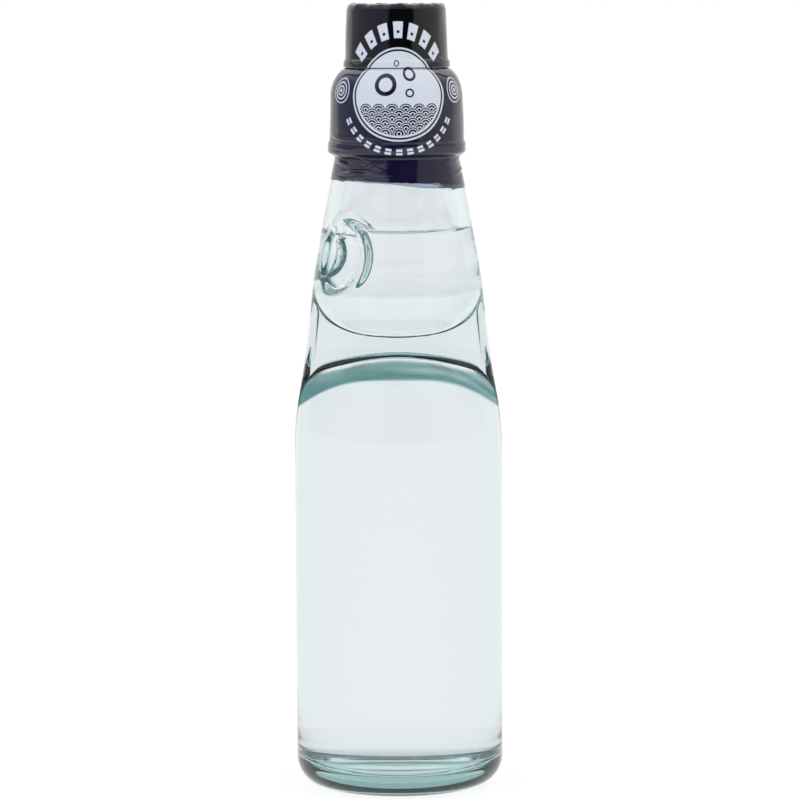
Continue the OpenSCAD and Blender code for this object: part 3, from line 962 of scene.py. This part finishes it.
@dataclass
class Film:
    """The printed shrink film: a skirt on the cap and neck, and a collar on the opener."""

    outline: CapOutline = field(default_factory=CapOutline)
    shape: BottleShape = field(default_factory=BottleShape)
    thickness: float = 0.25
    edge_z: float = 163.95
    slope: float = 4.0
    sleeve_r: float = 17.6
    columns: int = 336
    finish: ShrinkFilm = field(default_factory=ShrinkFilm)

    def angles(self) -> np.ndarray:
        """Angles of the columns."""
        return ring_angles(self.columns)

    def wrap(self, height: np.ndarray) -> np.ndarray:
        """Print coordinates in mm: the way round the flat sleeve from the nearer of front and back, and z.

        Each cell between two columns has its own left and right value, so the print meets itself
        at the sides.
        """
        angles = self.angles()
        step = (np.roll(angles, -1) - angles) % (2 * math.pi)
        left = (np.degrees(angles) + 90) % 360
        right = left + np.degrees(step)
        base = np.where((left + right) / 2 % 360 < 90, 0, np.where((left + right) / 2 % 360 < 270, 180, 360))
        around = np.stack([left - base, right - base], axis=-1) * math.radians(1) * self.sleeve_r
        around = np.broadcast_to(around, (*height.shape, 2))
        tall = np.stack([height, np.roll(height, -1, axis=1)], axis=-1)
        return np.stack([around, tall], axis=-1)

    def crease(self, radius: np.ndarray, height: np.ndarray) -> np.ndarray:
        """The radius with the film's creases and its slight waviness added."""
        degrees = np.degrees(self.angles()) + 90
        wave = 0.035 * np.sin(np.radians(5 * degrees) + 0.35 * height) + 0.02 * np.sin(np.radians(11 * degrees) - 0.5 * height)
        return radius + wave + sum(fold.lift(degrees, height) for fold in CREASES)

    def close(self, name: str, outer_r: np.ndarray, outer_z: np.ndarray, inked: np.ndarray) -> bpy.types.Object:
        """Make a thin closed sleeve: up the outer face and down the inner one, a film's thickness apart.

        Args:
            name: The piece's name.
            outer_r: Radii of the outer face, rows by columns.
            outer_z: Heights of the outer face, rows by columns.
            inked: Share of ink at each point.

        Returns:
            The object.
        """
        turn_r, turn_z = np.gradient(outer_r, axis=0), np.gradient(outer_z, axis=0)
        size = np.hypot(turn_r, turn_z)
        inner_r = outer_r - self.thickness * 0.6 * turn_z / size
        inner_z = outer_z + self.thickness * 0.6 * turn_r / size
        radius = np.vstack([outer_r, inner_r[::-1]])
        height = np.vstack([outer_z, inner_z[::-1]])
        points = spin(radius, height, self.angles())
        values = {"inked": np.vstack([inked, inked[::-1]])}
        return grid_mesh(name, points, Wrap.RING, uv=self.wrap(height), values=values)

    def build_skirt(self) -> bpy.types.Object:
        """Make the skirt from its slanting edge on the neck, over the cap, to the foot of the hoop."""
        angles = self.angles()
        lower = np.linspace(158.0, 171.0, 40)
        neck = np.column_stack([self.shape.side_r(lower) + self.thickness, lower])
        path = soften(resample(np.vstack([neck, self.outline.cap(self.thickness)]), 0.2), 5)
        stop = self.outline.hoop_r + self.outline.hoop_bead_t - 0.3
        path = path[(path[:, 0] > stop) | (path[:, 1] < self.outline.z_ridge)]
        run = np.concatenate([[0], np.cumsum(np.hypot(*np.diff(path, axis=0).T))])
        hold = np.interp(168.0, path[:, 1], run)
        radius0 = np.interp(self.edge_z, path[:, 1], path[:, 0])
        edge = self.edge_z - radius0 * np.cos(angles) * math.tan(math.radians(self.slope))
        edge += 0.16 * np.sin(3 * angles + 1.1) + 0.1 * np.sin(7 * angles + 0.4)
        start = np.interp(edge, path[:, 1], run)
        low = np.linspace(0, 1, 24)[:, None]
        high = np.linspace(hold, run[-1], 120)[1:, None]
        along = np.vstack([start + (hold - start) * low, np.repeat(high, len(angles), 1)])
        radius, height = np.interp(along, run, path[:, 0]), np.interp(along, run, path[:, 1])
        margin = 0.35 + 1.0 * ease((np.cos(angles + 0.35) - 0.1) / 0.8) + 0.8 * ease((-np.cos(angles) - 0.55) / 0.4)
        inked = ease((height - edge - margin) / 0.12 + 0.5)
        radius = self.crease(radius, height)
        piece = self.close("film_skirt_sleeve", radius, height, inked)
        return settle(piece, "bottle", "navy_film", ("film_skirt",), self.finish.make())

    def build_collar(self) -> bpy.types.Object:
        """Make the collar from the tear line up the hoop and in over its top."""
        path = np.vstack([self.outline.hoop(self.thickness, 0.05), [[8.75, self.outline.z_hoop + self.thickness]]])
        path = soften(resample(path, 0.2), 4)
        shape = (len(path), self.columns)
        radius, height = (np.broadcast_to(path[:, i : i + 1], shape).copy() for i in range(2))
        side = ease((path[:, 0] - 11) / 1.5)[:, None]
        radius = radius + (self.crease(radius, height) - radius) * side
        top = ease((path[:, 1] - self.outline.z_hoop + 0.6) / 0.6)[:, None] * ease((path[:, 0] - 10.4) / 1.2)[:, None]
        angles = self.angles()
        height = height + top * (0.3 + 0.12 * np.sin(7 * angles) + 0.1 * np.sin(13 * angles + 2) + 0.06 * np.sin(29 * angles))
        piece = self.close("film_collar_sleeve", radius, height, np.ones(shape))
        return settle(piece, "opener", "navy_film", ("film_collar",), self.finish.make())


@dataclass
class Studio:
    """The plain pale floor, the soft light and the camera of the photograph."""

    lens: float = 183.5
    eye: tuple[float, float, float] = (0.0, -1.1, 0.214)
    aim_z: float = 0.105
    roll: float = 0.29
    through: str = "#F4F3F6"

    def build_camera(self) -> bpy.types.Object:
        """Set the camera at the photograph's viewing angle."""
        data = bpy.data.cameras.new("camera")
        data.lens, data.sensor_width = self.lens, 36.0
        data.clip_start, data.clip_end = 0.01, 100.0
        camera = bpy.data.objects.new("camera", data)
        turn = (Vector((0.0005, 0, self.aim_z)) - Vector(self.eye)).to_track_quat("-Z", "Y").to_matrix().to_4x4()
        camera.matrix_world = Matrix.Translation(self.eye) @ turn @ Matrix.Rotation(math.radians(-self.roll), 4, "Z")
        bpy.context.scene.collection.objects.link(camera)
        bpy.context.scene.camera = camera
        return camera

    def build_floor(self) -> bpy.types.Object:
        """Lay a pale floor that keeps the shadow of the object and else shows white."""
        mesh = bpy.data.meshes.new("floor")
        half = 12.0
        corners = [(-half, -half, 0), (half, -half, 0), (half, half, 0), (-half, half, 0)]
        mesh.from_pydata([(x, y, -0.0002) for x, y, _ in corners], [], [(0, 1, 2, 3)])
        floor = bpy.data.objects.new("floor", mesh)
        bpy.context.scene.collection.objects.link(floor)
        material, tree = new_material("painted_floor")
        path = add_node(tree, "LightPath")
        seen = add_node(
            tree, "Math", {0: path.outputs["Is Camera Ray"], 1: path.outputs["Is Glossy Ray"]}, operation="ADD"
        )
        seen = add_node(
            tree, "Math", {0: seen.outputs[0], 1: path.outputs["Is Transmission Ray"]}, operation="ADD", use_clamp=True
        )
        matt = add_node(tree, "BsdfDiffuse", {"Color": linear("#F2F2F2")})
        tone = add_node(
            tree,
            "Mix",
            {0: path.outputs["Is Transmission Ray"], 6: (1, 1, 1, 1), 7: linear(self.through)},
            data_type="RGBA",
        )
        glow = add_node(tree, "Emission", {"Color": tone.outputs[2], "Strength": 1.05})
        share = add_node(tree, "Math", {0: seen.outputs[0], 1: 0.85}, operation="MULTIPLY")
        mix = add_node(tree, "MixShader", {0: share.outputs[0], 1: matt.outputs[0], 2: glow.outputs[0]})
        add_node(tree, "OutputMaterial", {"Surface": mix.outputs[0]})
        mesh.materials.append(material)
        return floor

    def build_world(self) -> None:
        """Surround the object with a white room that is plain to the eye and softly zoned in gloss."""
        world = bpy.data.worlds.new("room")
        bpy.context.scene.world = world
        world.use_nodes = True
        tree = world.node_tree
        tree.nodes.clear()
        path = add_node(tree, "LightPath")
        place = add_node(tree, "TexCoord").outputs["Generated"]
        parts = add_node(tree, "SeparateXYZ", {0: place})
        back = add_node(tree, "Math", {0: parts.outputs[1], 1: -1.0}, operation="MULTIPLY")
        azimuth = add_node(tree, "Math", {0: parts.outputs[0], 1: back.outputs[0]}, operation="ARCTAN2")
        turn = add_node(
            tree, "MapRange", {0: azimuth.outputs[0], 1: -math.pi, 2: math.pi, 3: 0.0, 4: 1.0}
        )
        zones = add_node(tree, "ValToRGB", {0: turn.outputs[0]})
        stops = [
            (-180, (1.0, 1.0, 1.0)),
            (-125, (1.0, 1.0, 1.0)),
            (-118, (0.5, 0.5, 0.58)),
            (-20, (0.36, 0.34, 0.5)),
            (-16, (0.015, 0.015, 0.02)),
            (36, (0.015, 0.015, 0.02)),
            (40, (0.52, 0.5, 0.48)),
            (110, (0.7, 0.69, 0.68)),
            (120, (1.0, 1.0, 1.0)),
            (180, (1.0, 1.0, 1.0)),
        ]
        ramp = zones.color_ramp
        while len(ramp.elements) < len(stops):
            ramp.elements.new(0.5)
        for element, (degrees, colour) in zip(ramp.elements, stops):
            element.position = (degrees + 180) / 360
            element.color = (*colour, 1)
        up = add_node(tree, "MapRange", {0: parts.outputs[2], 1: 0.25, 2: 0.95, 3: 1.0, 4: 0.6})
        seen = add_node(
            tree, "Math", {0: path.outputs["Is Transmission Ray"], 1: up.outputs[0]}, operation="MULTIPLY"
        )
        flat = add_node(
            tree, "Math", {0: path.outputs["Is Camera Ray"], 1: seen.outputs[0]}, operation="MAXIMUM"
        )
        other = add_node(tree, "Math", {0: flat.outputs[0], 1: 0.0}, operation="GREATER_THAN")
        level = add_node(tree, "Mix", {0: other.outputs[0], 2: 0.85, 3: flat.outputs[0]}, data_type="FLOAT")
        tone = add_node(
            tree,
            "Mix",
            {0: path.outputs["Is Transmission Ray"], 6: (1, 1, 1, 1), 7: linear(self.through)},
            data_type="RGBA",
        )
        grey = add_node(tree, "VectorMath", {0: tone.outputs[2], "Scale": level.outputs[0]}, operation="SCALE")
        above = add_node(tree, "MapRange", {0: parts.outputs[2], 1: 0.35, 2: 0.75, 3: 0.0, 4: 0.75})
        gloss = add_node(tree, "VectorMath", {0: zones.outputs[0], 1: above.outputs[0]}, operation="ADD")
        glossy = path.outputs["Is Glossy Ray"]
        colour = add_node(
            tree, "Mix", {0: glossy, 6: grey.outputs[0], 7: gloss.outputs[0]}, data_type="RGBA"
        )
        light = add_node(tree, "Background", {"Color": colour.outputs[2], "Strength": 1.0})
        add_node(tree, "OutputWorld", {"Surface": light.outputs[0]})

    def build_lamps(self) -> None:
        """Hang two soft boxes at the sides."""
        for name, side, warm in (("left", -1, "#EEF2FF"), ("right", 1, "#FFF6EA")):
            data = bpy.data.lights.new("softbox_" + name, "AREA")
            data.shape, data.size, data.size_y = "RECTANGLE", 0.8, 1.4
            data.energy, data.color = 6.0, linear(warm)[:3]
            lamp = bpy.data.objects.new("softbox_" + name, data)
            spot = Vector((side * 1.0, -0.7, 0.6))
            lamp.matrix_world = Matrix.Translation(spot) @ (
                Vector((0, 0, 0.12)) - spot
            ).to_track_quat("-Z", "Y").to_matrix().to_4x4()
            lamp.visible_camera = lamp.visible_glossy = lamp.visible_transmission = False
            bpy.context.scene.collection.objects.link(lamp)


def main() -> None:
    """Build the object, the studio and the camera, and keep the two boxes."""
    logging.basicConfig(level=logging.INFO, format="%(message)s")
    scene = bpy.context.scene
    scene.view_settings.view_transform = "Standard"
    scene.cycles.max_bounces = 96
    scene.cycles.transmission_bounces = 96
    scene.cycles.glossy_bounces = 96
    scene.cycles.transparent_max_bounces = 32

    bottle = GlassBottle()
    bottle.build()
    Drink(bottle).build()
    Marble().build()
    film = Film()
    film.build_skirt()
    film.build_collar()
    white = Plastic("moulded_polyethylene", "#E9EBEC", 0.35).make()
    blue = Plastic("moulded_polypropylene", "#BFD9EA", 0.3).make()
    rubber = Plastic("moulded_rubber", "#3A3D40", 0.6, grain_mm=0.25).make()
    foil = Plastic("seal_liner", "#C9CCCE", 0.4).make()
    for node, material in (
        ("mouth_cap", white),
        ("mouth_gasket", rubber),
        ("rim_seal", foil),
        ("opener_ring", blue),
        ("opener_plunger", blue),
    ):
        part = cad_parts[node]
        part.data.materials.clear()
        part.data.materials.append(material)
        LOG.info("%s: dressed as %s", node, material.name)

    studio = Studio()
    studio.build_floor()
    studio.build_world()
    studio.build_lamps()
    studio.build_camera()


if __name__ == "__main__":
    main()
